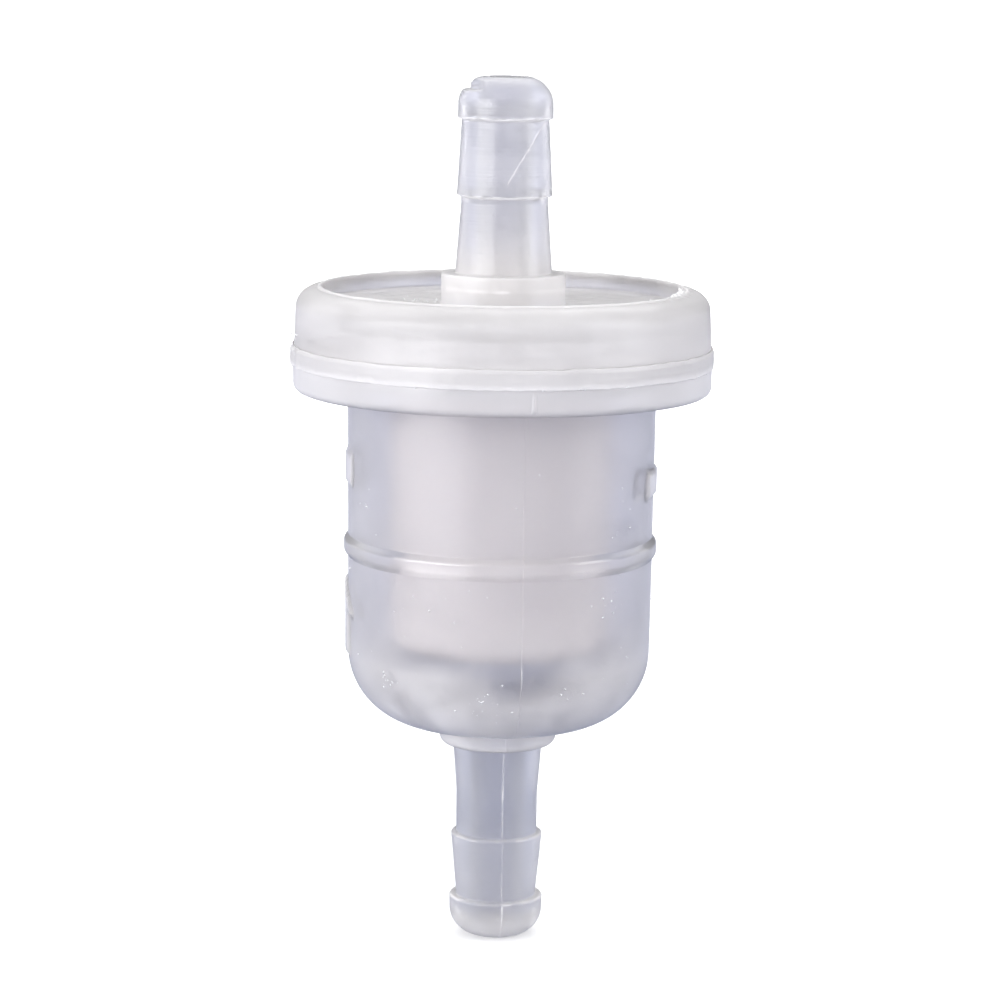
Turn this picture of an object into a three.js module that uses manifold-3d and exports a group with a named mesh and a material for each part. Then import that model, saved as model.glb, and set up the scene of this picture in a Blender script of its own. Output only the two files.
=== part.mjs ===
// Fuel filter for a small engine: a welded in-line filter with a hose barb at each end.
// Millimetres, +Z up. The flow runs along Z, and the origin is the tip of the inlet barb.
// Fuel enters at the bottom, passes inwards through the wall of the filter cup, and leaves at the top.

import * as THREE from "three";
import { mergeVertices } from "three/addons/utils/BufferGeometryUtils.js";
import Module from "manifold-3d";

// ---------------------------------------------------------------- driving dimensions

const FACETS = 40; // flats round a turned shape
const OVERALL_LENGTH = 70.3; // tip of the inlet barb to tip of the outlet barb
const BORE_RADIUS = 1.5;
const WALL = 1.2; // thickness of the moulded walls

// Hose barbs, for 1/4 inch fuel hose. Lengths run from the tip.
const TIP_ROUND = 2.3;
const TIP_RING_RADIUS = 3.8;
const TIP_RING_LENGTH = 3.35;
const INLET_BARB = {
  waistRadius: 3.24, secondRadius: 3.74, secondStep: 8.65,
  neckRadius: 3.3, neckEnd: 12, rootRadius: 3.62, length: 16.1,
};
const OUTLET_BARB = {
  waistRadius: 3.48, secondRadius: 3.83, secondStep: 9.5,
  neckRadius: 3.47, neckEnd: 10, rootRadius: 3.86, length: 15.2,
};

// Lower bowl
const INLET_COLLAR = { radius: 4.75, round: 0.7 };
const BOWL_BOTTOM_Z = 17.95;
const BOWL_CORNER = 6.05; // radius of the rounded bottom edge
const BOWL_RADIUS_LOW = 12.2; // the wall widens upwards, so that it leaves the mould
const BOWL_RADIUS_HIGH = 12.45;
const RIB = { z: 32.6, radius: 12.32, round: 0.42 };
const FLANGE = { radius: 16.85, bottomZ: 45.15, topZ: 47.35, round: 0.6 };
const SEAT = { radius: 14.6, z: 46.3 }; // recess in the flange that the mouth ring lies in

// Raised marks on the bowl: a flow arrow and two plain pads
const ARROW = {
  faceRadius: 12.42, tipZ: 30, shoulderZ: 27.1, tailZ: 23.8, headHalf: 4.1, shaftHalf: 2.3,
};
const LEFT_PAD = { faceRadius: 12.58, lowZ: 37.6, highZ: 40.4, half: 3.7, round: 0.8 };
const RIGHT_PAD = { faceRadius: 12.62, lowZ: 37.1, highZ: 39.2, half: 3.9, round: 0.8 };
const FLASH_NUB = { azimuth: 8.5, width: 0.35, height: 1.7, stands: 0.25 };

// Weld bead
const BEAD = { radius: 17.03, innerRadius: 15.3, bottomZ: 47.4, topZ: 48.75 };

// Upper cover
const SKIRT = { bottomZ: 48.8, radiusLow: 16.78, radiusHigh: 16.6, innerRadius: 15.3 };
const SHOULDER = { round: 2.1, topZ: 53.45 };
const RECESS = { radius: 14.2, floorZ: 52.2 }; // sunk floor inside the rim
const OUTLET_COLLAR = { radius: 5, topZ: 54.65 };
const PLATE_UNDER_Z = 50.7;
const CLAMP_RIB = { inner: 12.3, outer: 13.9, z: 47.85 }; // presses the mouth ring into its seat

// Filter cup, its mouth ring and the cage inside it
const CUP = { radius: 9, wall: 1.3, bottomZ: 24.2, topZ: 47.75, corner: 1.6 };
const MOUTH_RING = { inner: 9.05, outer: 14.5, bottomZ: 46.35, topZ: 47.75 };
const CAGE = {
  radius: 7.4, bar: 1, barWidth: 1.5, bars: 6,
  bottomZ: 25.9, footRadius: 6.4, footHole: 2, footHeight: 1,
  hoopHeight: 1.1, hoopZ: [31.4, 37, 42.6],
  lipRadius: 11.9, lipZ: 47.8, lipHeight: 0.8,
};

// ---------------------------------------------------------------- solids and outlines

const wasm = await Module();
wasm.setup();

const point = (radius, z) => new THREE.Vector2(radius, z);

function arc(radius, z, round, fromDegrees, toDegrees, steps) {
  const points = [];
  for (let step = 0; step <= steps; step += 1) {
    const angle = THREE.MathUtils.degToRad(fromDegrees + ((toDegrees - fromDegrees) * step) / steps);
    points.push(point(radius + round * Math.cos(angle), z + round * Math.sin(angle)));
  }
  return points;
}

// A closed outline in (radius, z) turned about the flow axis.
function turned(outline) {
  const geometry = new THREE.LatheGeometry([...outline, outline[0]], FACETS);
  geometry.rotateX(Math.PI / 2);
  return geometry;
}

function ring(inner, outer, bottomZ, topZ) {
  return turned([point(inner, bottomZ), point(outer, bottomZ), point(outer, topZ), point(inner, topZ)]);
}

function toSolid(geometry) {
  const bare = geometry.clone();
  bare.deleteAttribute("normal");
  bare.deleteAttribute("uv");
  const merged = mergeVertices(bare, 1e-4);
  return new wasm.Manifold(new wasm.Mesh({
    numProp: 3,
    vertProperties: new Float32Array(merged.attributes.position.array),
    triVerts: new Uint32Array(merged.index.array),
  }));
}

function toGeometry(solid) {
  const mesh = solid.getMesh();
  const geometry = new THREE.BufferGeometry();
  geometry.setAttribute("position", new THREE.BufferAttribute(new Float32Array(mesh.vertProperties), 3));
  geometry.setIndex(new THREE.BufferAttribute(new Uint32Array(mesh.triVerts), 1));
  geometry.computeVertexNormals();
  return geometry;
}

// The outside of a hose barb, from the edge of its bore to its root, as (radius, distance from the tip).
function barbOutline({ waistRadius, secondRadius, secondStep, neckRadius, neckEnd, rootRadius, length }) {
  const edge = 0.2;
  return [
    ...arc(TIP_RING_RADIUS - TIP_ROUND, TIP_ROUND, TIP_ROUND, -90, 0, 6),
    point(TIP_RING_RADIUS, TIP_RING_LENGTH - edge),
    point(waistRadius, TIP_RING_LENGTH),
    point(secondRadius, secondStep - 2 * edge),
    point(secondRadius - edge, secondStep),
    point(neckRadius, secondStep),
    point(neckRadius, neckEnd),
    point(rootRadius, length),
  ];
}

// ---------------------------------------------------------------- raised marks

function arrowShape() {
  const shape = new THREE.Shape();
  shape.moveTo(0, ARROW.tipZ);
  shape.lineTo(-ARROW.headHalf, ARROW.shoulderZ);
  shape.lineTo(-ARROW.shaftHalf, ARROW.shoulderZ);
  shape.lineTo(-ARROW.shaftHalf, ARROW.tailZ);
  shape.lineTo(ARROW.shaftHalf, ARROW.tailZ);
  shape.lineTo(ARROW.shaftHalf, ARROW.shoulderZ);
  shape.lineTo(ARROW.headHalf, ARROW.shoulderZ);
  shape.closePath();
  return shape;
}

function padShape({ lowZ, highZ, half, round }) {
  const shape = new THREE.Shape();
  shape.absarc(half - round, highZ - round, round, 0, Math.PI / 2, false);
  shape.absarc(round - half, highZ - round, round, Math.PI / 2, Math.PI, false);
  shape.absarc(round - half, lowZ + round, round, Math.PI, 1.5 * Math.PI, false);
  shape.absarc(half - round, lowZ + round, round, 1.5 * Math.PI, 2 * Math.PI, false);
  shape.closePath();
  return shape;
}

// A flat shape in (across, z), stood up on the left (-1) or right (+1) side of the bowl and trimmed
// to a band that starts inside the wall and ends at the mark's curved outer face.
function mark(shape, faceRadius, side) {
  const depth = BOWL_RADIUS_HIGH;
  const block = new THREE.ExtrudeGeometry(shape, { depth, bevelEnabled: false, curveSegments: 3 });
  block.rotateX(Math.PI / 2);
  block.translate(0, 1.5 * depth, 0);
  block.rotateZ(-side * (Math.PI / 2));
  const band = ring(BOWL_RADIUS_LOW - WALL / 2, faceRadius, ARROW.tailZ - 1, LEFT_PAD.highZ + 1);
  return toSolid(block).intersect(toSolid(band));
}

// A nub of flash at the mould's parting line, on the edge of the flange.
function flashNub() {
  const depth = FLASH_NUB.stands + 1;
  const nub = new THREE.BoxGeometry(FLASH_NUB.width, depth, FLASH_NUB.height);
  const middleRadius = FLANGE.radius + FLASH_NUB.stands - depth / 2;
  nub.translate(0, -middleRadius, FLANGE.bottomZ + FLANGE.round + FLASH_NUB.height / 2 - 0.3);
  nub.rotateZ(THREE.MathUtils.degToRad(FLASH_NUB.azimuth));
  return nub;
}

// ---------------------------------------------------------------- pieces

function lowerBowl() {
  const corner = BOWL_CORNER;
  const collarZ = INLET_BARB.length + INLET_COLLAR.round;
  const innerCorner = corner - WALL;
  const innerHigh = BOWL_RADIUS_HIGH - WALL;
  const floorZ = BOWL_BOTTOM_Z + WALL;
  const outline = [
    ...barbOutline(INLET_BARB),
    ...arc(INLET_COLLAR.radius - INLET_COLLAR.round, collarZ, INLET_COLLAR.round, -90, 0, 4),
    point(INLET_COLLAR.radius, BOWL_BOTTOM_Z - 0.15),
    ...arc(BOWL_RADIUS_LOW - corner, BOWL_BOTTOM_Z + corner, corner, -90, 0, 9),
    ...arc(RIB.radius, RIB.z, RIB.round, -90, 90, 4),
    point(BOWL_RADIUS_HIGH, FLANGE.bottomZ - 0.4),
    point(BOWL_RADIUS_HIGH + 0.4, FLANGE.bottomZ),
    ...arc(FLANGE.radius - FLANGE.round, FLANGE.bottomZ + FLANGE.round, FLANGE.round, -90, 0, 3),
    point(FLANGE.radius, FLANGE.topZ),
    point(SEAT.radius, FLANGE.topZ),
    point(SEAT.radius, SEAT.z),
    point(innerHigh, SEAT.z),
    ...arc(BOWL_RADIUS_LOW - corner, BOWL_BOTTOM_Z + corner, innerCorner, 0, -90, 6),
    point(BORE_RADIUS + 1, floorZ),
    point(BORE_RADIUS, floorZ - 1),
  ];
  return toGeometry(
    toSolid(turned(outline))
      .add(mark(arrowShape(), ARROW.faceRadius, -1))
      .add(mark(padShape(LEFT_PAD), LEFT_PAD.faceRadius, -1))
      .add(mark(padShape(RIGHT_PAD), RIGHT_PAD.faceRadius, 1))
      .add(toSolid(flashNub())),
  );
}

function weldBead() {
  const bulge = 0.3; // how far the bead stands out from its flat edges
  return turned([
    point(BEAD.innerRadius, BEAD.bottomZ),
    point(BEAD.radius - bulge, BEAD.bottomZ),
    point(BEAD.radius, BEAD.bottomZ + bulge),
    point(BEAD.radius, BEAD.topZ - bulge * 1.5),
    point(BEAD.radius - bulge, BEAD.topZ),
    point(BEAD.innerRadius, BEAD.topZ),
  ]);
}

function upperCover() {
  const barb = barbOutline(OUTLET_BARB).map((p) => point(p.x, OVERALL_LENGTH - p.y)).reverse();
  const edge = 0.3;
  return turned([
    point(CLAMP_RIB.inner, PLATE_UNDER_Z),
    point(CLAMP_RIB.inner, CLAMP_RIB.z),
    point(CLAMP_RIB.outer, CLAMP_RIB.z),
    point(CLAMP_RIB.outer, PLATE_UNDER_Z),
    point(SKIRT.innerRadius, PLATE_UNDER_Z),
    point(SKIRT.innerRadius, SKIRT.bottomZ),
    point(SKIRT.radiusLow, SKIRT.bottomZ),
    ...arc(SKIRT.radiusHigh - SHOULDER.round, SHOULDER.topZ - SHOULDER.round, SHOULDER.round, 0, 90, 6),
    point(RECESS.radius + edge, SHOULDER.topZ - edge),
    point(RECESS.radius, RECESS.floorZ),
    point(OUTLET_COLLAR.radius, RECESS.floorZ),
    point(OUTLET_COLLAR.radius, OUTLET_COLLAR.topZ),
    point(OUTLET_BARB.rootRadius + edge, OUTLET_COLLAR.topZ),
    ...barb,
    point(BORE_RADIUS, PLATE_UNDER_Z + 1),
    point(BORE_RADIUS + 1, PLATE_UNDER_Z),
  ]);
}

function filterCup() {
  const inner = CUP.radius - CUP.wall;
  const innerCorner = CUP.corner - CUP.wall / 2;
  const floorZ = CUP.bottomZ + CUP.wall;
  return turned([
    point(0, CUP.bottomZ),
    ...arc(CUP.radius - CUP.corner, CUP.bottomZ + CUP.corner, CUP.corner, -90, 0, 4),
    point(CUP.radius, CUP.topZ),
    point(inner, CUP.topZ),
    ...arc(inner - innerCorner, floorZ + innerCorner, innerCorner, 0, -90, 3),
    point(0, floorZ),
  ]);
}

function cupMouthRing() {
  return ring(MOUTH_RING.inner, MOUTH_RING.outer, MOUTH_RING.bottomZ, MOUTH_RING.topZ);
}

function cupSupportCage() {
  const inner = CAGE.radius - CAGE.bar;
  const lipTop = CAGE.lipZ + CAGE.lipHeight;
  const overlap = 0.4; // how far each bar runs into the lip and the foot
  let cage = toSolid(ring(inner, CAGE.lipRadius, CAGE.lipZ, lipTop));
  const footTop = CAGE.bottomZ + CAGE.footHeight;
  cage = cage.add(toSolid(ring(CAGE.footHole, CAGE.footRadius, CAGE.bottomZ, footTop)));
  for (const z of CAGE.hoopZ) {
    cage = cage.add(toSolid(ring(inner, CAGE.radius, z, z + CAGE.hoopHeight)));
  }
  const barBottom = footTop - overlap;
  const barTop = CAGE.lipZ + overlap;
  const footSpoke = CAGE.radius - CAGE.footRadius + 2 * overlap;
  for (let bar = 0; bar < CAGE.bars; bar += 1) {
    const angle = (2 * Math.PI * bar) / CAGE.bars;
    const upright = new THREE.BoxGeometry(CAGE.bar, CAGE.barWidth, barTop - barBottom);
    upright.translate(CAGE.radius - CAGE.bar / 2, 0, (barTop + barBottom) / 2);
    upright.rotateZ(angle);
    const spoke = new THREE.BoxGeometry(footSpoke, CAGE.barWidth, CAGE.footHeight);
    spoke.translate(CAGE.radius - footSpoke / 2, 0, CAGE.bottomZ + overlap / 2 + CAGE.footHeight / 2);
    spoke.rotateZ(angle);
    cage = cage.add(toSolid(upright)).add(toSolid(spoke));
  }
  return toGeometry(cage);
}

// ---------------------------------------------------------------- materials and assembly

const materials = {
  housing: new THREE.MeshStandardMaterial({ color: 0xdcdee6, roughness: 0.35, metalness: 0 }),
  weld: new THREE.MeshStandardMaterial({ color: 0xe4e6ec, roughness: 0.3, metalness: 0 }),
  media: new THREE.MeshStandardMaterial({ color: 0xe6dfe0, roughness: 0.9, metalness: 0 }),
  inner: new THREE.MeshStandardMaterial({ color: 0xe9e9e6, roughness: 0.5, metalness: 0 }),
};

function piece(name, geometry, material) {
  const mesh = new THREE.Mesh(geometry, material);
  mesh.name = name;
  return mesh;
}

const fuelFilter = new THREE.Group();
fuelFilter.add(
  piece("lower_bowl", lowerBowl(), materials.housing),
  piece("upper_cover", upperCover(), materials.housing),
  piece("weld_bead", weldBead(), materials.weld),
  piece("filter_cup", filterCup(), materials.media),
  piece("cup_mouth_ring", cupMouthRing(), materials.inner),
  piece("cup_support_cage", cupSupportCage(), materials.inner),
);

export default fuelFilter;
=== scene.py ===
import math
import random

import bpy
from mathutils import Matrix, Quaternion, Vector, noise

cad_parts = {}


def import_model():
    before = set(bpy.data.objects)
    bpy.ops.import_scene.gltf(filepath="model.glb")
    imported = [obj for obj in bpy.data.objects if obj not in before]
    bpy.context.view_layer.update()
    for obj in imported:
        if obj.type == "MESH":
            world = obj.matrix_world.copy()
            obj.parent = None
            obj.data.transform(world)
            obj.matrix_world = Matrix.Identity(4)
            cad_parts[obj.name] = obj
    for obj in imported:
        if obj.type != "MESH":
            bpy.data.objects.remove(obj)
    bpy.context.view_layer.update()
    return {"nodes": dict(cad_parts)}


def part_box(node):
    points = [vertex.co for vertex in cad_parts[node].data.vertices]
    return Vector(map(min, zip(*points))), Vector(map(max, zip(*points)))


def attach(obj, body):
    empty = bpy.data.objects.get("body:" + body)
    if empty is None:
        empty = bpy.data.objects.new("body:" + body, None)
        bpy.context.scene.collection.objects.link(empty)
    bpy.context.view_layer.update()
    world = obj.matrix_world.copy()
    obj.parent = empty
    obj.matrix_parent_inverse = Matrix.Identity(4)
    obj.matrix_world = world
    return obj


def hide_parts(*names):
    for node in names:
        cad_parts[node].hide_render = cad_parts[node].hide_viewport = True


# A welded in-line fuel filter, in milky translucent plastic. Lengths are in millimetres unless it says
# metres, in the frame's own axes: +Z up the flow axis from the inlet tip, -Y the front.

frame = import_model()
MM = 0.001


def top_of(node):
    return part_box(node)[1].z / MM


def bottom_of(node):
    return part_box(node)[0].z / MM


def radius_of(node):
    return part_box(node)[1].y / MM


# ------------------------------------------------------------------ driving dimensions

LENGTH = top_of("upper_cover")
WALL = 1.2
BORE = 1.5
PARTING = 8.5  # degrees right of the front, where the two halves of the bowl's mould met

FLANGE_TOP = top_of("lower_bowl")
FLANGE_BOTTOM = 45.15
FLANGE_RADIUS = 16.85
BOWL_BOTTOM = 17.95
BOWL_LOW = 12.2
BOWL_HIGH = 12.45
BOWL_CORNER = 6.05
RIB_Z = 32.6
RIB = [(0, -0.9, 0.15), (0.34, -0.45, 0.6), (0.34, 0.45, 0.6), (0, 0.9, 0.15)]  # stands out, up, fillet
SEAT_Z = 46.3
SEAT_RADIUS = 14.6

BEAD_BOTTOM = bottom_of("weld_bead")
BEAD_TOP = top_of("weld_bead")
BEAD_RADIUS = radius_of("weld_bead")
BEAD_INNER = 15.3

SKIRT_BOTTOM = 48.8
SKIRT_LOW = 16.78
SHOULDER_RADIUS = 16.6
SHOULDER_ROUND = 2.1
SHOULDER_TOP = 53.45
RECESS_RADIUS = 14.2
RECESS_FLOOR = 52.2
PLATE_UNDER = 50.7
OUTLET_COLLAR_RADIUS = 5.0
OUTLET_COLLAR_TOP = 54.65

CUP_RADIUS = radius_of("filter_cup")
CUP_BOTTOM = bottom_of("filter_cup")
CUP_TOP = top_of("filter_cup")
CUP_WALL = 1.3


# ------------------------------------------------------------------ outlines and turned meshes

def filleted(corners, steps=6):
    """A polyline in (radius, z) from corners given as (radius, z, fillet radius)."""
    points = []
    count = len(corners)
    for i, (r, z, fillet) in enumerate(corners):
        corner = Vector((r, z))
        if fillet <= 0 or i in (0, count - 1):
            points.append(corner)
            continue
        back = Vector(corners[i - 1][:2]) - corner
        ahead = Vector(corners[i + 1][:2]) - corner
        half_angle = back.angle(ahead) / 2
        reach = min(fillet / math.tan(half_angle), 0.98 * back.length, 0.98 * ahead.length)
        radius = reach * math.tan(half_angle)
        start = corner + back.normalized() * reach
        end = corner + ahead.normalized() * reach
        middle = corner + (back.normalized() + ahead.normalized()).normalized() * (
            radius / math.sin(half_angle)
        )
        turn = math.pi - 2 * half_angle
        arc_steps = max(steps, math.ceil(radius * turn / 0.35))
        a = start - middle
        b = end - middle
        for step in range(arc_steps + 1):
            t = step / arc_steps
            weight_a = math.sin((1 - t) * turn) / math.sin(turn)
            weight_b = math.sin(t * turn) / math.sin(turn)
            points.append(middle + a * weight_a + b * weight_b)
    return points


def densified(points, longest):
    """The same line with no stretch longer than longest, which is a length, or a function that
    gives it for the stretch's middle."""
    dense = [points[0]]
    for a, b in zip(points, points[1:]):
        limit = longest((a + b) / 2) if callable(longest) else longest
        pieces = max(1, math.ceil((b - a).length / limit - 1e-6))
        dense += [a.lerp(b, (i + 1) / pieces) for i in range(pieces)]
    return dense


def columns(count, fine=()):
    """Azimuths in degrees round the axis: count even ones, and finer ones in each range of fine,
    which is (middle, half width, step)."""
    kept = [360 * i / count for i in range(count)]
    for middle, half, step in fine:
        kept = [a for a in kept if abs((a - middle + 180) % 360 - 180) > half]
        kept += [(middle + step * i) % 360 for i in range(-round(half / step), round(half / step) + 1)]
    return sorted(kept)


def turned(name, outline, azimuths, shape, closed=True):
    """A mesh turned about the flow axis. Azimuth 0 is the front and 90 the +X side.
    shape(radius, z, azimuth) gives a point's own radius and z, how milky the plastic is there,
    and how matt, which is 1 on the walls of the mould's core pins."""
    vertices = []
    milk = []
    matt = []
    rows = []
    for point in outline:
        if point.x < 1e-6:
            rows.append([len(vertices)] * len(azimuths))
            vertices.append((0, 0, point.y * MM))
            milk.append(0)
            matt.append(0)
            continue
        row = []
        for azimuth in azimuths:
            r, z, milkiness, mattness = shape(point.x, point.y, azimuth)
            angle = math.radians(azimuth)
            row.append(len(vertices))
            vertices.append((r * math.sin(angle) * MM, -r * math.cos(angle) * MM, z * MM))
            milk.append(milkiness)
            matt.append(mattness)
        rows.append(row)
    faces = []
    pairs = list(zip(rows, rows[1:]))
    if closed:
        pairs.append((rows[-1], rows[0]))
    for low, high in pairs:
        for i in range(len(azimuths)):
            j = (i + 1) % len(azimuths)
            corners = [low[i], low[j], high[j], high[i]]
            faces.append(list(dict.fromkeys(corners)))
    mesh = bpy.data.meshes.new(name)
    mesh.from_pydata(vertices, [], [f for f in faces if len(f) > 2])
    mesh.attributes.new("milk", "FLOAT", "POINT").data.foreach_set("value", milk)
    mesh.attributes.new("matt", "FLOAT", "POINT").data.foreach_set("value", matt)
    mesh.shade_smooth()
    mesh.set_sharp_from_angle(angle=math.radians(38))
    piece = bpy.data.objects.new(name, mesh)
    bpy.context.scene.collection.objects.link(piece)
    return piece


def finished(piece, material, slot, *nodes):
    """Gives the piece its material, puts it on the root body, and hides the CAD nodes that it stands for.
    """
    piece.data.materials.append(material)
    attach(piece, "root")
    if nodes:
        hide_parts(*nodes)


def ease(value, low, high):
    """0 below low, 1 above high, smooth between."""
    t = min(1.0, max(0.0, (value - low) / (high - low)))
    return t * t * (3 - 2 * t)


def patch(value, middle, half, soft):
    """1 within half of the middle, falling to 0 over soft."""
    return 1 - ease(abs(value - middle), half, half + soft)


def painted_glints(x, y, z, heights, seed):
    """A painted glint: how much whiter the plastic is made, in dashes, along the sharp edge of a barb's
    ring, where the light catches it.
    """
    near = max(patch(z, height, 0.06, 0.12) for height in heights)
    return near * (0.35 + 0.65 * ease(rough(x, y, z, 1.3, seed), -0.25, 0.3))


def turn_from(azimuth, middle):
    """Degrees from middle to azimuth, from -180 to 180."""
    return (azimuth - middle + 180) % 360 - 180


def rough(x, y, z, scale, seed=0.0):
    """Smooth noise from -1 to 1 at a place in millimetres."""
    return noise.noise(Vector((x * scale + seed, y * scale, z * scale)))


def place(radius, azimuth):
    """x and y of a point at a radius and an azimuth."""
    angle = math.radians(azimuth)
    return radius * math.sin(angle), -radius * math.cos(angle)


# ------------------------------------------------------------------ lower bowl

# The corners of the barb, each (radius, z, fillet radius).
INLET_BARB = [
    (BORE, 0, 0.1), (3.8, 0, 2.3), (3.8, 3.35, 0.22), (3.24, 3.35, 0.12),
    (3.74, 8.65, 0.28), (3.3, 8.65, 0.15), (3.3, 12, 4), (3.62, 16.1, 0.12),
]
INLET_RINGS = (3.25, 8.55)  # heights of the sharp edges of the barb's rings
ARROW = {"tip": 30, "shoulder": 27.1, "tail": 23.8, "head_half": 4.1, "shaft_half": 2.5, "stands": 0.24}
LEFT_PAD = {"low": 37.6, "high": 40.4, "half": 3.9, "stands": 0.2}
RIGHT_PAD = {"low": 37.1, "high": 39.2, "half": 4.4, "stands": 0.24}
LEFT = 270
RIGHT = 90
EDGE = 0.16  # width of the sloping edge of a raised mark

# How milky the parts of the bowl are, from 0 for clear to 1.
FLANGE_MILK = 0.5
COLLAR_MILK = 0.5
MARK_MILK = 0.6
RIB_MILK = 0.16
BARB_MILK = 0.13
TIP_MILK = 0.27
SEAM_MILK = 0.75
INNER_WALL_MATT = 0.25


def pad_height(pad, across, z):
    """How far a plain pad stands out at a place on its side of the bowl."""
    inside = min(pad["half"] - abs(across), z - pad["low"], pad["high"] - z)
    grain = 0.02 * rough(across, 0, z, 4)
    return (pad["stands"] + grain) * ease(inside, 0, EDGE)


def arrow_height(across, z):
    """How far the flow arrow stands out. It points up."""
    if z > ARROW["shoulder"] - EDGE:
        slope = ARROW["head_half"] / (ARROW["tip"] - ARROW["shoulder"])
        inside = min((ARROW["tip"] - z) * slope - abs(across), z - ARROW["shoulder"])
    else:
        inside = -1
    shaft = min(ARROW["shaft_half"] - abs(across), z - ARROW["tail"], ARROW["shoulder"] + 1 - z)
    inside = max(inside, shaft)
    grain = 0.02 * rough(across, 5, z, 4)
    return (ARROW["stands"] + grain) * ease(inside, 0, EDGE)


def marks_height(radius, z, azimuth):
    """How far the raised marks on the sides of the bowl stand out: an arrow and two pads."""
    left = radius * math.radians(turn_from(azimuth, LEFT))
    right = radius * math.radians(turn_from(azimuth, RIGHT))
    height = 0
    if abs(left) < ARROW["head_half"] + 1:
        height = max(arrow_height(left, z), pad_height(LEFT_PAD, left, z))
    if abs(right) < RIGHT_PAD["half"] + 1:
        height = pad_height(RIGHT_PAD, right, z)
    return height


def seam_height(radius, z, azimuth):
    """The fine ridge that the mould's parting line left, with dots of flash on it."""
    front = abs(turn_from(azimuth, PARTING)) * radius * math.pi / 180
    back = abs(turn_from(azimuth, PARTING + 180)) * radius * math.pi / 180
    beads = 0.42 + 1.2 * max(0, rough(0, radius, z, 1.7, 3))
    return 0.05 * beads * (1 - ease(min(front, back), 0.025, 0.095))


def nub_height(z, azimuth):
    """A nub of flash on the edge of the flange, at the parting line."""
    off = abs(turn_from(azimuth, PARTING)) * FLANGE_RADIUS * math.pi / 180
    above = ease(z, FLANGE_BOTTOM + 0.2, FLANGE_BOTTOM + 0.5)
    below = 1 - ease(z, FLANGE_TOP - 0.6, FLANGE_TOP - 0.3)
    tall = above * below
    wavy = 0.8 + 0.4 * rough(0, 0, z, 2.5, 9)
    return 0.13 * wavy * tall * (1 - ease(off, 0.08, 0.24))


# Milky and clear spots low in the bowl: azimuth, half width and soft edge of each in degrees,
# then its height, half height and soft edge, and how strong it is.
MILKY_SPOTS = [
    (-31, 4, 11, 22.5, 0.8, 1.7, 0.15),
    (-19, 3, 6, 20, 0.9, 1.2, 0.2),
    (32, 6, 12, 21, 0.5, 1.6, 0.1),
]
CLEAR_SPOTS = [
    (8, 4, 24, 24.1, 0.4, 2.2, 1),
    (-25, 5, 16, 25.2, 0.1, 1.8, 0.6),
    (180, 15, 25, 18, 3, 3, 0.7),
]


def strongest(spots, azimuth, z, torn):
    """How strong the strongest of the spots is at a place. torn frays their edges."""
    found = 0
    for middle, half, soft, height, tall, fade, strength in spots:
        across = patch(turn_from(azimuth, middle) + 5 * torn, 0, half, soft)
        found = max(found, strength * across * patch(z + 0.5 * torn, height, tall, fade))
    return found


def cloudiness(x, y, z, azimuth):
    """How milky the bowl is: more and more towards its bottom, with spots. It is also painted whiter on
    its left, and low on its right, as painted light from the lamps on those sides.
    """
    torn = 1.6 * rough(x, y, z, 0.3, 20) + 0.8 * rough(x, y, z, 0.9, 21)
    low = 1 - ease(z + 1.5 * torn, 20, 31)
    clear = strongest(CLEAR_SPOTS, azimuth, z, torn)
    milky = strongest(MILKY_SPOTS, azimuth, z, torn)
    # Painted light: whiter on the left, and low on the right, where the side lamps fall.
    left = ease(-x, 6, 12)
    right = ease(x, 5, 11)
    even = 0.12 + 0.11 * left + low * (0.35 + 0.14 * torn + 0.18 * right)
    lowest = 0.12 * (1 - ease(z, 19.3, 21.3))
    return even * (1 - 0.95 * clear) + milky + lowest


def flange_milk(radius, z, azimuth):
    """The flange is milky, and clearer near its underside. Painted light makes it whiter everywhere but at
    its front, as the side lamps light its sides.
    """
    solid = ease(z, FLANGE_BOTTOM - 0.5, FLANGE_BOTTOM) * ease(radius, 12.5, 13.5)
    # Painted light: whiter away from the front, where the side lamps fall.
    painted_side_light = ease(abs(turn_from(azimuth, 0)), 30, 65)
    underside = 1 - ease(z, FLANGE_BOTTOM, FLANGE_BOTTOM + 0.3)
    return solid * (FLANGE_MILK + 0.25 * painted_side_light - 0.3 * underside)


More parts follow.
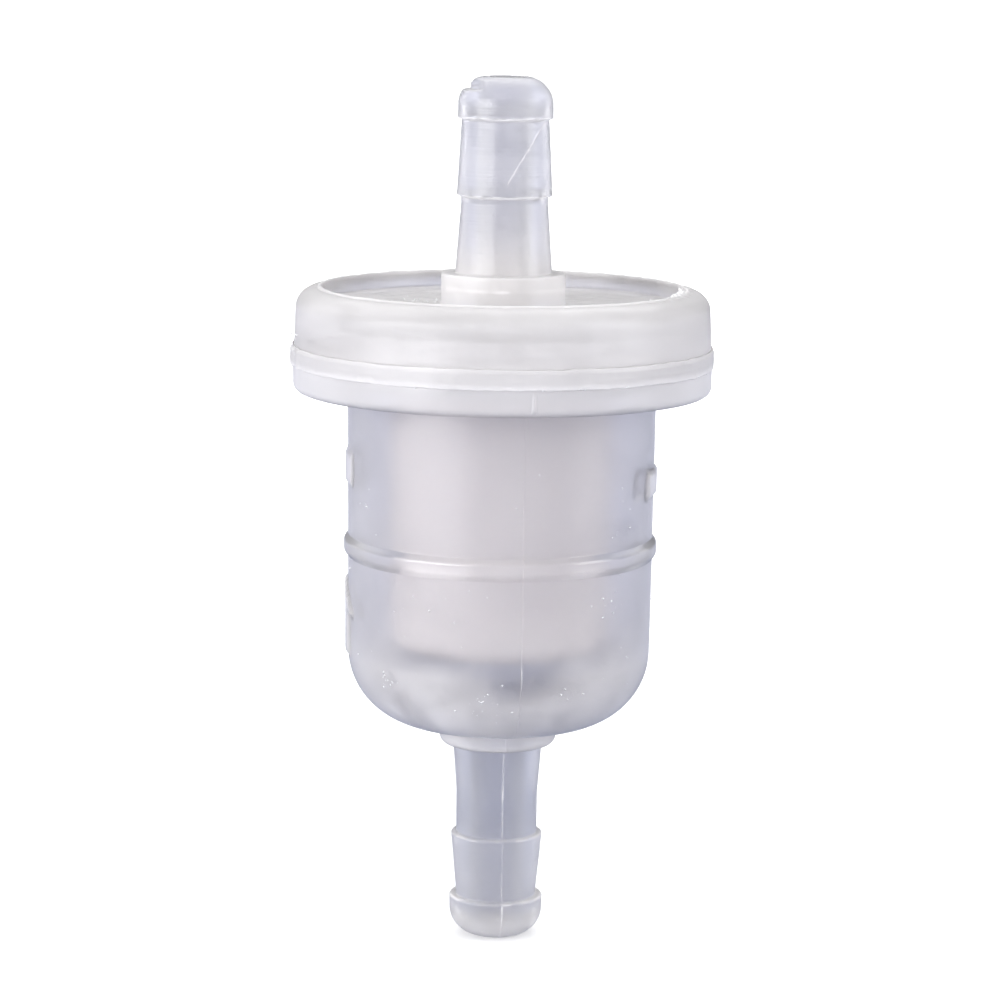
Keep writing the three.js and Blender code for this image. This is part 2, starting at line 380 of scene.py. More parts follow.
def bowl_shape(radius, z, azimuth):
    """The skin's small departures from its outline, and how milky and matt it is."""
    x, y = place(radius, azimuth)
    outside = radius > 11.9 or z < BOWL_BOTTOM + 6 and radius > BORE + 0.5
    flange = flange_milk(radius, z, azimuth)
    if not outside or z > FLANGE_TOP - 0.05:
        return radius, z, flange, 1 if radius < BORE + 0.2 else INNER_WALL_MATT
    out = 0.025 * rough(x, y, z, 0.22)
    milk = 0.1 * ease(radius, 11.8, 12) * ease(z, 27, 30)
    if 11.9 < radius < 13 and BOWL_BOTTOM + 2 < z < FLANGE_BOTTOM - 1:
        marks = marks_height(radius, z, azimuth)
        out += marks
        milk = max(milk, MARK_MILK * ease(marks, 0, 0.08), RIB_MILK * patch(z, RIB_Z, 0.8, 0.2))
    milk = max(milk, BARB_MILK * (1 - ease(z, 8, 10)), TIP_MILK * (1 - ease(z, 1.5, 4)))
    if radius > 16:
        nub = nub_height(z, azimuth)
        out += nub + 0.02 * rough(x, y, z, 0.8)
        milk = max(milk, 0.5 * ease(nub, 0.03, 0.13))
    else:
        seam = seam_height(radius, z, azimuth)
        out += seam
        in_bowl = ease(z, BOWL_BOTTOM - 0.1, BOWL_BOTTOM + 0.1)
        milk = max(milk, cloudiness(x, y, z, azimuth) * in_bowl)
        milk = max(milk, SEAM_MILK * ease(seam, 0.005, 0.05) * (1 - 0.9 * ease(z, 34, 39)))
        if radius > 3.5:
            # Painted glints: the ring edges are made whiter in dashes, on a fine raised lip of flash.
            glint = painted_glints(x, y, z, INLET_RINGS, 31)
            out += 0.04 * glint
            milk = max(milk, 0.5 * glint)
    collar = ease(z, 16, 16.4) * (1 - ease(z, BOWL_BOTTOM, BOWL_BOTTOM + 0.4))
    collar *= 1 - ease(radius, 5, 6)
    return radius + out, z, max(milk, flange, COLLAR_MILK * collar), 0


def bowl_detail(point):
    """How long a stretch of the outline may be: short on the barb and the outside, long inside."""
    if 3.2 < point.x < 3.9:
        return 0.16
    return 0.35 if point.x > 11.9 else 1.2


def lower_bowl():
    inner_low = BOWL_LOW - WALL
    inner_high = BOWL_HIGH - WALL
    floor = BOWL_BOTTOM + WALL
    share = (RIB_Z - BOWL_BOTTOM) / (FLANGE_BOTTOM - BOWL_BOTTOM)
    at_rib = BOWL_LOW + (BOWL_HIGH - BOWL_LOW) * share
    rib = [(at_rib + stands, RIB_Z + up, fillet) for stands, up, fillet in RIB]
    corners = [
        *INLET_BARB, (4.75, 16.1, 0.7), (4.75, BOWL_BOTTOM, 0.1),
        (BOWL_LOW, BOWL_BOTTOM, BOWL_CORNER), *rib, (BOWL_HIGH, FLANGE_BOTTOM, 0.4),
        (FLANGE_RADIUS, FLANGE_BOTTOM, 0.6), (FLANGE_RADIUS, FLANGE_TOP, 0.12),
        (SEAT_RADIUS, FLANGE_TOP, 0.1), (SEAT_RADIUS, SEAT_Z, 0.1), (inner_high, SEAT_Z, 0.2),
        (inner_low, floor, BOWL_CORNER - WALL), (BORE, floor, 0.8), (BORE, 0, 0),
    ]
    outline = filleted([*corners, corners[0]])[:-1]
    outline = densified(outline, bowl_detail)
    seams = [(PARTING, 1.2, 0.15), (PARTING + 180, 1.2, 0.3)]
    marks = [(LEFT, 20, 0.7), (RIGHT, 19, 0.9)]
    return turned("bowl", outline, columns(200, seams + marks), bowl_shape)


# ------------------------------------------------------------------ weld bead

def bead_shape(radius, z, azimuth):
    """The molten plastic set in waves, with crumbs along its lower lip and stray bits on the left."""
    if radius < SKIRT_LOW:
        return radius, z, 0.75, 0
    x, y = place(radius, azimuth)
    outer = ease(radius, FLANGE_RADIUS + 0.06, FLANGE_RADIUS + 0.12)
    lower = 1 - ease(z, BEAD_BOTTOM, BEAD_BOTTOM + 0.45)
    upper = ease(z, BEAD_TOP - 0.2, BEAD_TOP)
    wave = 0.04 * rough(x, y, 0, 0.5) + 0.03 * rough(x, y, z, 2.2, 4)
    crumbs = 0.1 * lower * ease(rough(x, y, z, 1.6, 7), 0.25, 0.6)
    on_left = 1 - ease(abs(turn_from(azimuth, 280)), 10, 26)
    stray = 0.16 * ease(abs(rough(x, y, 0, 1.1, 11)), 0.25, 0.5) * on_left
    ragged = 0.08 * lower * rough(x, y, 0, 1.3, 2) + 0.08 * upper * rough(x, y, 0, 0.8, 5)
    milk = 0.55 + 0.25 * lower + 0.1 * upper
    return radius + outer * (wave + crumbs + stray - 0.05), z + ragged, milk, 0


def weld_bead():
    lip_low = BEAD_BOTTOM - 0.12
    lip_high = BEAD_TOP + 0.12
    corners = [
        (BEAD_INNER, BEAD_BOTTOM, 0.1), (FLANGE_RADIUS + 0.05, BEAD_BOTTOM, 0.04),
        (FLANGE_RADIUS + 0.05, lip_low, 0.04), (BEAD_RADIUS, lip_low, 0.1),
        (BEAD_RADIUS, BEAD_TOP - 0.2, 0.3), (SKIRT_LOW + 0.13, lip_high, 0.06),
        (SKIRT_LOW + 0.05, lip_high, 0.02), (SKIRT_LOW + 0.05, BEAD_TOP, 0.02),
        (BEAD_INNER, BEAD_TOP, 0.1),
    ]
    outline = densified(filleted([*corners, corners[0]])[:-1], 0.18)
    return turned("weld_seam", outline, columns(420), bead_shape)


# ------------------------------------------------------------------ upper cover

# The corners of the barb, each (radius, depth below the tip, fillet radius).
OUTLET_BARB = [
    (3.86, 15.2, 0.3), (3.47, 10, 4), (3.47, 9.5, 0.12), (3.83, 9.5, 0.25),
    (3.48, 3.35, 0.12), (3.8, 3.35, 0.22), (3.8, 0, 2.3), (BORE, 0, 0.15),
]
LEDGE = 1.0  # depth below the tip where the dome steps in on the left
TORN_RIM = 74  # azimuth of the torn lumps on the rim
OUTLET_RINGS = (LENGTH - 3.3, LENGTH - 9.45)  # heights of the sharp edges of the barb's rings
SCRATCH = {"low": (0.2, 61.95), "high": (3.15, 66.75)}  # (x, z) of its ends, seen from the front
SKIRT_WINDOW = [(-43, 4, 7, 51.2, 0.6, 1.3, 0.08)]  # a clearer spot, given as in MILKY_SPOTS

# How milky the parts of the cover are, from 0 for clear to 1.
SKIRT_MILK = 0.47
OUTLET_COLLAR_MILK = 0.52
SUNK_FLOOR_MILK = 0.55
OUTLET_BARB_MILK = 0.24


def skirt_milk(radius, z, azimuth):
    """The skirt has faint streaks along it, and the window."""
    x, y = place(radius, azimuth)
    streaks = 0.08 * rough(turn_from(azimuth, 180) / 14, z, 0, 1.6, 40)
    streaks += 0.06 * rough(x, y, z, 0.5, 41)
    torn = 0.3 * rough(x, y, z, 0.8, 42)
    return SKIRT_MILK + streaks - strongest(SKIRT_WINDOW, azimuth, z, torn)


def cover_milk(radius, z):
    """The barb and the sunk floor are clearer than the thick skirt and collar. A painted highlight whitens
    a thin line on the rim round the sunk floor.
    """
    if z > OUTLET_COLLAR_TOP - 0.05 and radius < OUTLET_COLLAR_RADIUS - 0.5:
        return OUTLET_BARB_MILK - 0.22 * ease(z, OUTLET_COLLAR_TOP - 1, OUTLET_COLLAR_TOP + 5.5)
    if radius < OUTLET_COLLAR_RADIUS + 0.05:
        return OUTLET_COLLAR_MILK
    if radius < RECESS_RADIUS + 0.36:
        return SUNK_FLOOR_MILK - 0.27 * ease(radius, RECESS_RADIUS - 1, RECESS_RADIUS)
    # Painted highlight: a thin whiter line on the top of the rim's lip.
    painted_rim_highlight = patch(radius, RECESS_RADIUS + 0.5, 0.15, 0.1) * ease(z, SHOULDER_TOP - 0.3, SHOULDER_TOP)
    return SKIRT_MILK + 0.25 * painted_rim_highlight


def scratch_mark(x, y, z):
    """A fine slanting scratch on the front of the barb."""
    (low_x, low_z), (high_x, high_z) = SCRATCH["low"], SCRATCH["high"]
    along = (x - low_x) / (high_x - low_x)
    if y > 0 or not 0 < along < 1:
        return 0
    line = low_z + (high_z - low_z) * along + 0.1 * math.sin(2.5 * along)
    return patch(z, line, 0.03, 0.12) * (1 - 0.2 * along)


def cover_shape(radius, z, azimuth):
    """Where a point of the cover's skin lies, and how milky and matt it is."""
    r, high = cover_place(radius, z, azimuth)
    milk = skirt_milk(radius, z, azimuth) if radius > 15.6 else cover_milk(radius, z)
    x, y = place(radius, azimuth)
    # Painted glint: a faint whiter line in dashes round the collar's side, 1.1 mm below its top.
    if abs(radius - OUTLET_COLLAR_RADIUS) < 0.1:
        milk += 0.4 * painted_glints(x, y, z, (OUTLET_COLLAR_TOP - 1.1,), 35)
    if radius > 3.4 and z > OUTLET_COLLAR_TOP + 0.5:
        scratch = scratch_mark(x, y, z)
        # Painted glints: the ring edges are made whiter in dashes, on a fine raised lip of flash.
        glint = painted_glints(x, y, z, OUTLET_RINGS, 33)
        r += 0.06 * glint + 0.03 * scratch
        milk = max(milk, 0.8 * glint, 0.7 * scratch)
    hidden = radius < BORE + 0.2 or radius < BEAD_INNER + 0.1 and z < PLATE_UNDER + 0.1
    return r, high, milk, 1 if hidden else 0


def tip_place(radius, z, azimuth):
    """The dome of the tip, which steps in on its left."""
    depth = LENGTH - z
    side = 1 - ease(abs(turn_from(azimuth, LEFT)), 38, 62)
    step = 1 - ease(depth, LEDGE - 0.08, LEDGE + 0.08)
    upright = 2.8 - 0.45 * ease(LEDGE - depth, 0.4, 1.0)
    target = min(upright, radius + 0.55) if radius > 2.2 else radius
    return radius + (target - radius) * side * step, z


def rim_place(radius, z, azimuth):
    """The rim round the sunk floor, which is wavy, with lumps of torn plastic on its right."""
    x, y = place(radius, azimuth)
    rim = ease(z, SHOULDER_TOP - 0.7, SHOULDER_TOP - 0.1) * (1 - ease(abs(radius - 14.5), 0.3, 0.9))
    torn = 1 - ease(abs(turn_from(azimuth, TORN_RIM)), 9, 22)
    rise = 0.05 * rough(x, y, 0, 0.9) + 0.22 * torn * max(0, rough(x, y, 0, 2.1, 5))
    return radius + 0.06 * rim * rough(x, y, 0, 1.6, 8), z + rim * rise


def sunk_floor_place(radius, z, azimuth):
    """The sunk floor, with a grain and shallow arcs."""
    x, y = place(radius, azimuth)
    grain = 0.05 * rough(x, y, z, 1.9) + 0.03 * rough(x, y, z, 5)
    arcs = 0.12 * rough(radius, abs(turn_from(azimuth, 0)) / 12, 0, 0.8, 12)
    return radius, z + (grain + arcs) * (1 - ease(radius, 12.8, 13.9)) * ease(radius, 5, 5.8)


def cover_place(radius, z, azimuth):
    if radius > BORE + 0.2 and LENGTH - z < 3:
        return tip_place(radius, z, azimuth)
    if radius > 13.8 and z > SHOULDER_TOP - 1.6:
        return rim_place(radius, z, azimuth)
    if radius > 16 and z < SHOULDER_TOP - 1:
        x, y = place(radius, azimuth)
        return radius + 0.03 * rough(x, y, z, 0.35), z
    if abs(z - RECESS_FLOOR) < 0.3 and radius < 13.9:
        return sunk_floor_place(radius, z, azimuth)
    return radius, z


def cover_detail(point):
    """How long a stretch of the outline may be: shortest on the collar and the scratched barb."""
    if point.x < BORE + 0.1 or point.y < PLATE_UNDER + 0.1 and point.x < BEAD_INNER + 0.1:
        return 1.2
    scratched = 3.3 < point.x < 3.9 and point.y > OUTLET_COLLAR_TOP + 6
    return 0.12 if scratched or 4.8 < point.x < 5.1 else 0.35


def upper_cover():
    clamp_inner = 12.3
    clamp_outer = 13.9
    clamp_low = 47.85
    lip_outer = RECESS_RADIUS + 0.75
    lip_top = SHOULDER_TOP + 0.08
    barb = [(r, LENGTH - depth, fillet) for r, depth, fillet in OUTLET_BARB]
    corners = [
        (clamp_inner, PLATE_UNDER, 0.2), (clamp_inner, clamp_low, 0.2), (clamp_outer, clamp_low, 0.2),
        (clamp_outer, PLATE_UNDER, 0.2), (BEAD_INNER, PLATE_UNDER, 0.4), (BEAD_INNER, SKIRT_BOTTOM, 0.1),
        (SKIRT_LOW, SKIRT_BOTTOM, 0.12), (SHOULDER_RADIUS, SHOULDER_TOP, SHOULDER_ROUND),
        (lip_outer, SHOULDER_TOP - 0.06, 0.06), (lip_outer - 0.12, lip_top, 0.1),
        (lip_outer - 0.36, lip_top, 0.1), (RECESS_RADIUS, RECESS_FLOOR, 0.3),
        (OUTLET_COLLAR_RADIUS, RECESS_FLOOR, 0.15), (OUTLET_COLLAR_RADIUS, OUTLET_COLLAR_TOP, 0.18),
        (3.9, OUTLET_COLLAR_TOP, 0.15), *barb, (BORE, PLATE_UNDER, 0.6),
    ]
    outline = filleted([*corners, corners[0]])[:-1]
    outline = densified(outline, cover_detail)
    return turned("cover", outline, columns(280, [(TORN_RIM, 22, 0.5)]), cover_shape)


# ------------------------------------------------------------------ what is inside

def cup_shape(radius, z, azimuth):
    """The cup's outside is a little uneven, as pressed fibre is."""
    x, y = place(radius, azimuth)
    if radius < CUP_RADIUS - CUP_WALL / 2 and z > CUP_BOTTOM + CUP_WALL / 2:
        return radius, z, 0, 0
    soft = 0.12 * rough(x, y, z, 0.16, 1) + 0.03 * rough(x, y, z, 0.9, 6)
    return radius - 0.06 + soft * ease(radius, 0, 2), z, 0, 0


def filter_cup():
    inner = CUP_RADIUS - CUP_WALL
    floor = CUP_BOTTOM + CUP_WALL
    corners = [
        (0, CUP_BOTTOM, 0), (CUP_RADIUS, CUP_BOTTOM, 1.6), (CUP_RADIUS, CUP_TOP, 0.3),
        (inner, CUP_TOP, 0.3), (inner, floor, 1), (0, floor, 0),
    ]
    outline = densified(filleted(corners), 0.6)
    return turned("element", outline, columns(160), cup_shape, closed=False)


def mouth_ring():
    low = bottom_of("cup_mouth_ring")
    high = top_of("cup_mouth_ring")
    outer = radius_of("cup_mouth_ring")
    inner = CUP_RADIUS + 0.05
    corners = [
        (inner, low, 0.15), (outer, low, 0.25), (outer, high, 0.25), (inner, high, 0.15),
    ]
    outline = densified(filleted([*corners, corners[0]])[:-1], 0.6)
    return turned("mouth_ring", outline, columns(160), lambda radius, z, azimuth: (radius, z, 0, 0))


# ------------------------------------------------------------------ dust and flash

# Where the crumbs lie: azimuth, z, spread of each, how many.
DUST = [
    (-45, 22.8, 7, 0.9, 14), (-7, 21.6, 10, 1.4, 22), (24, 22.7, 4, 0.5, 4), (46, 29, 6, 1.2, 10),
    (52, 36, 6, 2, 9), (-58, 36, 6, 3, 7), (0, 28, 90, 10, 40), (180, 27, 90, 10, 36),
]
SPECK = (0.035, 0.11)  # smallest and largest crumb of dust


def bowl_radius(z):
    """The bowl's outside, without its rib."""
    wall = BOWL_LOW + (BOWL_HIGH - BOWL_LOW) * (z - BOWL_BOTTOM) / (FLANGE_BOTTOM - BOWL_BOTTOM)
    drop = max(0, BOWL_BOTTOM + BOWL_CORNER - z)
    return wall - BOWL_CORNER + math.sqrt(max(0, BOWL_CORNER ** 2 - drop ** 2))


def crumb(vertices, faces, centre, size, chance):
    """Adds one rough little lump: an octahedron with each corner pushed in or out."""
    first = len(vertices)
    for direction in ((1, 0, 0), (0, 1, 0), (-1, 0, 0), (0, -1, 0), (0, 0, 1), (0, 0, -1)):
        reach = size * chance.uniform(0.6, 1.2)
        vertices.append([(c + d * reach) * MM for c, d in zip(centre, direction)])
    for i in range(4):
        j = (i + 1) % 4
        faces.append((first + i, first + j, first + 4))
        faces.append((first + j, first + i, first + 5))


def lumps(name, centres, chance):
    """One piece made of many crumbs. centres holds (radius, azimuth, z, size)."""
    vertices = []
    faces = []
    for radius, azimuth, z, size in centres:
        x, y = place(radius, azimuth)
        crumb(vertices, faces, (x, y, z), size, chance)
    mesh = bpy.data.meshes.new(name)
    mesh.from_pydata(vertices, [], faces)
    mesh.shade_smooth()
    piece = bpy.data.objects.new(name, mesh)
    bpy.context.scene.collection.objects.link(piece)
    return piece


def dust():
    """White specks in the skin of the bowl."""
    chance = random.Random(4)
    centres = []
    for azimuth, z, azimuth_spread, z_spread, count in DUST:
        for _ in range(count):
            height = max(BOWL_BOTTOM + 1, chance.gauss(z, z_spread / 2))
            size = chance.uniform(*SPECK)
            turn = chance.gauss(azimuth, azimuth_spread / 2)
            centres.append((bowl_radius(height) + size / 3, turn, height, size))
    return lumps("dust", centres, chance)


def flash():
    """Torn crumbs of plastic: on the right of the rim, on the left and all along the lower edge of
    the weld, and on the left of the sunk floor."""
    chance = random.Random(9)
    centres = []
    for _ in range(40):
        azimuth = chance.gauss(80, 11)
        centres.append((chance.uniform(14.1, 14.9), azimuth, SHOULDER_TOP, chance.uniform(0.05, 0.16)))
    for _ in range(14):
        azimuth = chance.gauss(-82, 7)
        z = chance.uniform(BEAD_BOTTOM, 50)
        centres.append((BEAD_RADIUS, azimuth, z, chance.uniform(0.05, 0.13)))
    for _ in range(36):
        size = chance.uniform(0.05, 0.11)
        radius = chance.uniform(5.3, 9)
        centres.append((radius, chance.gauss(-85, 14), RECESS_FLOOR + size / 3, size))
    for _ in range(60):
        low = BEAD_BOTTOM - chance.uniform(0.0, 0.15)
        azimuth = chance.uniform(0, 360)
        centres.append((BEAD_RADIUS - 0.06, azimuth, low, chance.uniform(0.03, 0.09)))
    return lumps("flash", centres, chance)


# ------------------------------------------------------------------ material building blocks

class Shader:
    """A material with one Principled shader, and short calls that add nodes to it."""

    def __init__(self, name):
        self.material = bpy.data.materials.new(name)
        self.material.use_nodes = True
        self.tree = self.material.node_tree
        self.principled = self.tree.nodes["Principled BSDF"]
        self.places = {}

    def node(self, kind, inputs=None, **settings):
        made = self.tree.nodes.new(kind)
        for key, value in settings.items():
            setattr(made, key, value)
        for key, value in (inputs or {}).items():
            self.feed(made.inputs[key], value)
        return made

    def feed(self, socket, value):
        if isinstance(value, bpy.types.NodeSocket):
            self.tree.links.new(value, socket)
        else:
            socket.default_value = value

    def set(self, **values):
        for key, value in values.items():
            self.feed(self.principled.inputs[key.replace("_", " ")], value)

    def math(self, operation, a, b=0.0, c=0.0, clamp=False):
        made = self.node("ShaderNodeMath", {0: a, 1: b, 2: c}, operation=operation)
        made.use_clamp = clamp
        return made.outputs[0]

    def position(self):
        """The place on the piece in millimetres."""
        if "mm" not in self.places:
            metres = self.node("ShaderNodeTexCoord").outputs["Object"]
            scaled = self.node("ShaderNodeVectorMath", {0: metres}, operation="SCALE")
            scaled.inputs["Scale"].default_value = 1 / MM
            self.places["mm"] = scaled.outputs[0]
            self.places["xyz"] = self.node("ShaderNodeSeparateXYZ", {0: scaled.outputs[0]}).outputs
        return self.places["mm"]

    def axis(self, index):
        self.position()
        return self.places["xyz"][index]

    def radius(self):
        """Millimetres from the flow axis."""
        flat = self.node("ShaderNodeVectorMath", {0: self.stretched(1, 1, 0)}, operation="LENGTH")
        return flat.outputs["Value"]

    def stretched(self, x, y, z):
        made = self.node("ShaderNodeVectorMath", {0: self.position()}, operation="MULTIPLY")
        made.inputs[1].default_value = (x, y, z)
        return made.outputs[0]

    def noise(self, scale, detail=2.0, vector=None, roughness=0.5):
        made = self.node("ShaderNodeTexNoise", {"Vector": vector or self.position()})
        made.inputs["Scale"].default_value = scale
        made.inputs["Detail"].default_value = detail
        made.inputs["Roughness"].default_value = roughness
        return made.outputs[0]

    def band(self, value, low, high, from_value=0.0, to_value=1.0):
        """value mapped smoothly from low..high to from_value..to_value."""
        inputs = {0: value, 1: low, 2: high, 3: from_value, 4: to_value}
        made = self.node("ShaderNodeMapRange", inputs)
        made.interpolation_type = "SMOOTHSTEP"
        return made.outputs[0]

    def mix(self, factor, a, b):
        made = self.node("ShaderNodeMix", data_type="RGBA")
        self.feed(made.inputs[0], factor)
        self.feed(made.inputs[6], a)
        self.feed(made.inputs[7], b)
        return made.outputs[2]

    def product(self, first, *rest):
        for other in rest:
            first = self.math("MULTIPLY", first, other)
        return first

    def bump(self, height, distance_mm, strength=1.0, before=None):
        made = self.node("ShaderNodeBump", {"Height": height})
        made.inputs["Distance"].default_value = distance_mm * MM
        made.inputs["Strength"].default_value = strength
        if before is not None:
            self.feed(made.inputs["Normal"], before)
        return made.outputs[0]


def colour(red, green, blue):
    return (red, green, blue, 1.0)


# ------------------------------------------------------------------ materials

CLEAR_TINT = colour(0.944, 0.938, 0.955)
MILKY_TINT = colour(0.95, 0.93, 0.93)
CLEAREST = 0.98  # share of the light that the outer skin lets through where it isn't milky
CLEAREST_INSIDE = 0.965
SKIN_ROUGHNESS = (0.276, 0.3)
INNER_ROUGHNESS = (0.13, 0.55)  # of the bowl's inner wall, and where the core pins left it matt


def transmitted(shader, milk, matt, skin, swirl, cloudy):
    """How much light goes through, and how white the plastic is. Less goes through where it is milky,
    and where the barb is seen aslant."""
    cloud_noise = shader.noise(0.13, 3, shader.stretched(*swirl))
    cloud = shader.band(cloud_noise, 0.3, 0.7, -cloudy, cloudy)
    white = shader.math("ADD", milk, shader.product(skin, cloud), clamp=True)
    slant = shader.node("ShaderNodeLayerWeight").outputs["Facing"]
    on_barb = shader.band(shader.radius(), 5, 6, 0.18, 0.0)
    slanting = shader.product(shader.band(slant, 0.02, 0.35), on_barb)
    lost = shader.math("ADD", white, shader.product(skin, slanting))
    clear = shader.band(matt, 0, 0.2, CLEAREST, CLEAREST_INSIDE)
    weight = shader.math("SUBTRACT", clear, shader.math("MULTIPLY", lost, 0.8), clamp=True)
    return weight, white


def ringed_normal(shader, ring_low, ring_high):
    """A fine grain, with the turned rings of the mould between the two heights."""
    z = shader.axis(2)
    rings = shader.noise(3.2, 3, shader.stretched(0.02, 0.02, 1))
    low_end = shader.band(z, ring_low, ring_low + 1)
    high_end = shader.band(z, ring_high - 1, ring_high, 1, 0)
    grain = shader.bump(shader.noise(0.35, 2), 0.03, 0.5)
    return shader.bump(shader.product(rings, low_end, high_end), 0.04, 0.8, grain)


def milky_plastic(name, ring_low, ring_high, swirl=(1, 1, 1.4), cloudy=0.05, gloss=0.0):
    """Translucent moulded plastic. ring_low to ring_high are the heights of the barb, whose surface
    keeps the turned rings of its mould. swirl and cloudy shape its slow clouds, and gloss is its coat."""
    shader = Shader(name)
    milk = shader.node("ShaderNodeAttribute", attribute_name="milk").outputs["Fac"]
    matt = shader.node("ShaderNodeAttribute", attribute_name="matt").outputs["Fac"]
    skin = shader.band(matt, 0, 0.2, 1.0, 0.0)
    weight, white = transmitted(shader, milk, matt, skin, swirl, cloudy)
    rim = shader.band(shader.radius(), 13, 15, 0, 0.09)
    outer = shader.math("ADD", rim, shader.band(shader.noise(0.5, 3), 0.3, 0.7, *SKIN_ROUGHNESS))
    inner = shader.product(shader.band(matt, 0, 0.2), shader.band(matt, 0.25, 1, *INNER_ROUGHNESS))
    off_barb = shader.band(shader.radius(), 5, 7, 0, gloss)
    off_rim = shader.band(rim, 0, 0.05, 1, 0.3)
    shader.set(
        Base_Color=shader.mix(shader.band(white, 0, 0.3), CLEAR_TINT, MILKY_TINT),
        Roughness=shader.math("MULTIPLY_ADD", skin, outer, inner),
        Transmission_Weight=weight,
        IOR=1.5,
        Coat_Weight=shader.product(off_barb, off_rim),
        Coat_Roughness=0.2,
        Normal=ringed_normal(shader, ring_low, ring_high),
    )
    return shader.material


def pressed_fibre():
    """The cup's filtering material: pale, with a slight pink mottle and fine fibres."""
    shader = Shader("pressed_fibre")
    mottle = shader.noise(0.35, 4)
    fibres = shader.noise(4, 5, shader.stretched(1, 1, 0.6), 0.7)
    pale = shader.mix(mottle, colour(0.96, 0.885, 0.86), colour(0.985, 0.925, 0.9))
    shader.set(
        Base_Color=shader.mix(shader.band(fibres, 0.3, 0.7, 0.0, 0.25), pale, colour(0.84, 0.81, 0.81)),
        Roughness=0.92,
        Normal=shader.bump(fibres, 0.08, 0.7),
    )
    return shader.material


def white_crumbs():
    """Torn plastic and dust, whiter than the mouldings."""
    shader = Shader("white_crumbs")
    shader.set(
        Base_Color=shader.mix(shader.noise(2, 2), colour(0.93, 0.93, 0.95), colour(1, 1, 1)),
        Roughness=0.5,
    )
    return shader.material


def satin_moulding():
    """Opaque off-white plastic, for the cup's mouth ring and its cage."""
    shader = Shader("satin_moulding")
    shader.set(
        Base_Color=shader.mix(shader.noise(0.4, 3), colour(0.84, 0.84, 0.84), colour(0.92, 0.92, 0.92)),
        Roughness=shader.band(shader.noise(1, 3), 0.3, 0.7, 0.4, 0.55),
        Normal=shader.bump(shader.noise(1.5, 3), 0.04, 0.5),
    )
    return shader.material


# ------------------------------------------------------------------ camera, light and floor

CAMERA_SIDE = -0.00005  # metres, as are the next two
CAMERA_DISTANCE = 0.276
CAMERA_HEIGHT = 0.08165
CAMERA_PITCH = 9.36  # degrees down
CAMERA_ROLL = 0.76  # degrees
FOCAL_PER_WIDTH = 3.45  # focal length as a share of the sensor's width
SENSOR = 36  # millimetres


def camera():
    data = bpy.data.cameras.new("camera")
    made = bpy.data.objects.new("camera", data)
    bpy.context.scene.collection.objects.link(made)
    data.sensor_width = SENSOR
    data.lens = FOCAL_PER_WIDTH * SENSOR
    data.clip_start = 0.01
    data.clip_end = 50
    made.location = (CAMERA_SIDE, -CAMERA_DISTANCE, CAMERA_HEIGHT)
    pitch = math.radians(CAMERA_PITCH)
    aim = Vector((0, math.cos(pitch), -math.sin(pitch)))
    roll = Quaternion((0, 0, 1), math.radians(CAMERA_ROLL))
    made.rotation_mode = "QUATERNION"
    made.rotation_quaternion = aim.to_track_quat("-Z", "Y") @ roll
    bpy.context.view_layer.update()
    bpy.context.scene.camera = made


def area_light(name, location, aim, width, height, watts):
    """A white rectangular light that faces aim. Its place and size are in metres."""
    data = bpy.data.lights.new(name, "AREA")
    data.shape = "RECTANGLE"
    data.size = width
    data.size_y = height
    data.energy = watts
    made = bpy.data.objects.new(name, data)
    made.location = location
    made.rotation_mode = "QUATERNION"
    made.rotation_quaternion = (Vector(aim) - Vector(location)).to_track_quat("-Z", "Y")
    bpy.context.scene.collection.objects.link(made)


FLOOR_HALF = 8  # metres
FLOOR_STEP = 0.0002  # how far each hidden floor lies below the one before, in metres
WHITE = (0.95, 0.95, 0.95)
SLATE = (0.32, 0.35, 0.49)
GREY = (0.43, 0.44, 0.53)
DUSK = (0.24, 0.25, 0.32)
PALE = (0.62, 0.63, 0.7)


def ground(name, tints, glow, rises=(85, 150), falls=(400, 800)):
    """A level sheet, to the horizon and beyond. tints and glow hold its colour and how strongly it
    glows: near, between and far. rises and falls are distances, in millimetres, over which they change."""
    mesh = bpy.data.meshes.new(name)
    half = FLOOR_HALF
    corners = [(-half, -half, 0), (half, -half, 0), (half, half, 0), (-half, half, 0)]
    mesh.from_pydata(corners, [], [(0, 1, 2, 3)])
    made = bpy.data.objects.new(name, mesh)
    bpy.context.scene.collection.objects.link(made)
    shader = Shader(name)
    away = shader.node("ShaderNodeVectorMath", {0: shader.position()}, operation="LENGTH").outputs["Value"]
    near, between, far = glow
    rising = shader.band(away, *rises, near, between)
    falling = shader.band(away, *falls, 1, far / between)
    shade = shader.mix(shader.band(away, *rises), colour(*tints[0]), colour(*tints[1]))
    shade = shader.mix(shader.band(away, *falls), shade, colour(*tints[2]))
    shader.set(
        Base_Color=shade,
        Roughness=0.9,
        Emission_Color=shade,
        Emission_Strength=shader.product(rising, falling),
    )
    made.data.materials.append(shader.material)
    return made


def seen_floor():
    """The white floor, which only the camera sees."""
    made = ground("floor", (WHITE, WHITE, WHITE), (0.18, 0.6, 0.6), (50, 400), (900, 1500))
    made.visible_diffuse = False
    made.visible_glossy = False
    made.visible_transmission = False


def grey_floor():
    """The floor that the plastic mirrors and lets through: slate near the object, dusk far off."""
    made = ground("grey_floor", (SLATE, GREY, DUSK), (0.03, 0.72, 0.05))
    made.location.z = -FLOOR_STEP
    made.visible_camera = False
    made.visible_diffuse = False


def lifting_floor():
    """The floor that throws soft light up on the object."""
    made = ground("lifting_floor", (PALE, GREY, GREY), (0.05, 0.72, 0.1))
    made.location.z = -2 * FLOOR_STEP
    made.visible_camera = False
    made.visible_glossy = False
    made.visible_transmission = False


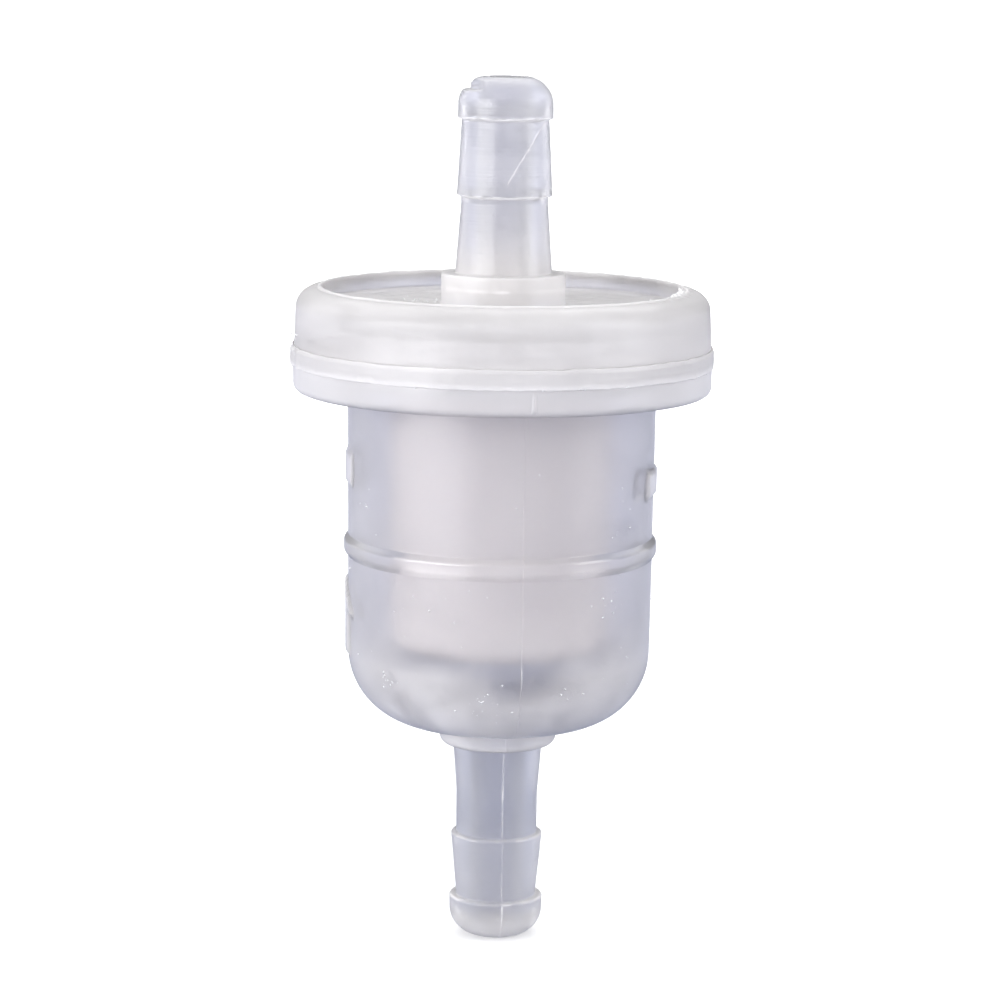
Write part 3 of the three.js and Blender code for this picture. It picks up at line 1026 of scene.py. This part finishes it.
SKY_COLOUR = colour(0.97, 0.98, 1)
SKY_HORIZON = (0.13, 0.24)  # how steeply a direction rises, and how bright the sky is up to there
SKY_HIGH = (0.62, 0.9)  # the same, from there up
BACKDROP = 1.1  # brightness of the white that the camera sees behind the object


def world():
    """White to the camera. To all else it is a grey sky, darker at the horizon."""
    made = bpy.data.worlds.new("studio")
    bpy.context.scene.world = made
    made.use_nodes = True
    tree = made.node_tree
    sky = tree.nodes["Background"]
    sky.inputs["Color"].default_value = SKY_COLOUR
    direction = tree.nodes.new("ShaderNodeTexCoord")
    height = tree.nodes.new("ShaderNodeSeparateXYZ")
    rise = tree.nodes.new("ShaderNodeMapRange")
    rise.interpolation_type = "SMOOTHSTEP"
    rise.inputs["From Min"].default_value, rise.inputs["To Min"].default_value = SKY_HORIZON
    rise.inputs["From Max"].default_value, rise.inputs["To Max"].default_value = SKY_HIGH
    tree.links.new(direction.outputs["Generated"], height.inputs[0])
    tree.links.new(height.outputs["Z"], rise.inputs["Value"])
    tree.links.new(rise.outputs[0], sky.inputs["Strength"])
    seen = tree.nodes.new("ShaderNodeBackground")
    seen.inputs["Color"].default_value = colour(1, 1, 1)
    seen.inputs["Strength"].default_value = BACKDROP
    path = tree.nodes.new("ShaderNodeLightPath")
    mix = tree.nodes.new("ShaderNodeMixShader")
    tree.links.new(path.outputs["Is Camera Ray"], mix.inputs[0])
    tree.links.new(sky.outputs[0], mix.inputs[1])
    tree.links.new(seen.outputs[0], mix.inputs[2])
    tree.links.new(mix.outputs[0], tree.nodes["World Output"].inputs[0])


OBJECT_MIDDLE = (0, 0, 0.035)
BEHIND = (0, 0.35, 0)  # the patch of floor behind the object that the back light faces

# Name, place, width, height (in metres) and power (in watts) of each light that faces the object.
SOFT_LIGHTS = [
    ("left_softbox", (-0.53, -0.42, 0.12), 0.62, 0.4, 5.2),
    ("right_softbox", (0.6, -0.2, 0.13), 0.35, 0.5, 2.4),
    ("front_fill", (0.25, -0.8, 0.07), 0.7, 0.3, 1.25),
    ("edge_strip", (-0.6, 0.53, 0.12), 0.06, 0.5, 0.35),
    ("edge_strip", (0.6, 0.53, 0.12), 0.06, 0.5, 0.35),
]


def studio():
    world()
    seen_floor()
    grey_floor()
    lifting_floor()
    for name, location, width, height, watts in SOFT_LIGHTS:
        area_light(name, location, OBJECT_MIDDLE, width, height, watts)
    area_light("back_light", (0, 0.5, 0.7), BEHIND, 0.9, 0.6, 3.0)
    bpy.context.scene.view_settings.view_transform = "Standard"


# ------------------------------------------------------------------ the scene

def build():
    bowl_plastic = milky_plastic("bowl_plastic", 1, 12, gloss=0.5)
    finished(lower_bowl(), bowl_plastic, "housing", "lower_bowl")
    cover_plastic = milky_plastic("cover_plastic", 55, 70, (0.4, 0.4, 2.2), 0.1)
    finished(upper_cover(), cover_plastic, "cover", "upper_cover")
    finished(weld_bead(), milky_plastic("weld_plastic", 47, 49), "weld", "weld_bead")
    finished(filter_cup(), pressed_fibre(), "media", "filter_cup")
    crumbs = white_crumbs()
    finished(dust(), crumbs, "housing")
    finished(flash(), crumbs, "weld")
    satin = satin_moulding()
    finished(mouth_ring(), satin, "inner_moulding", "cup_mouth_ring")
    cage = frame["nodes"]["cup_support_cage"]
    cage.data.materials.clear()
    cage.data.materials.append(satin)


build()
camera()
studio()
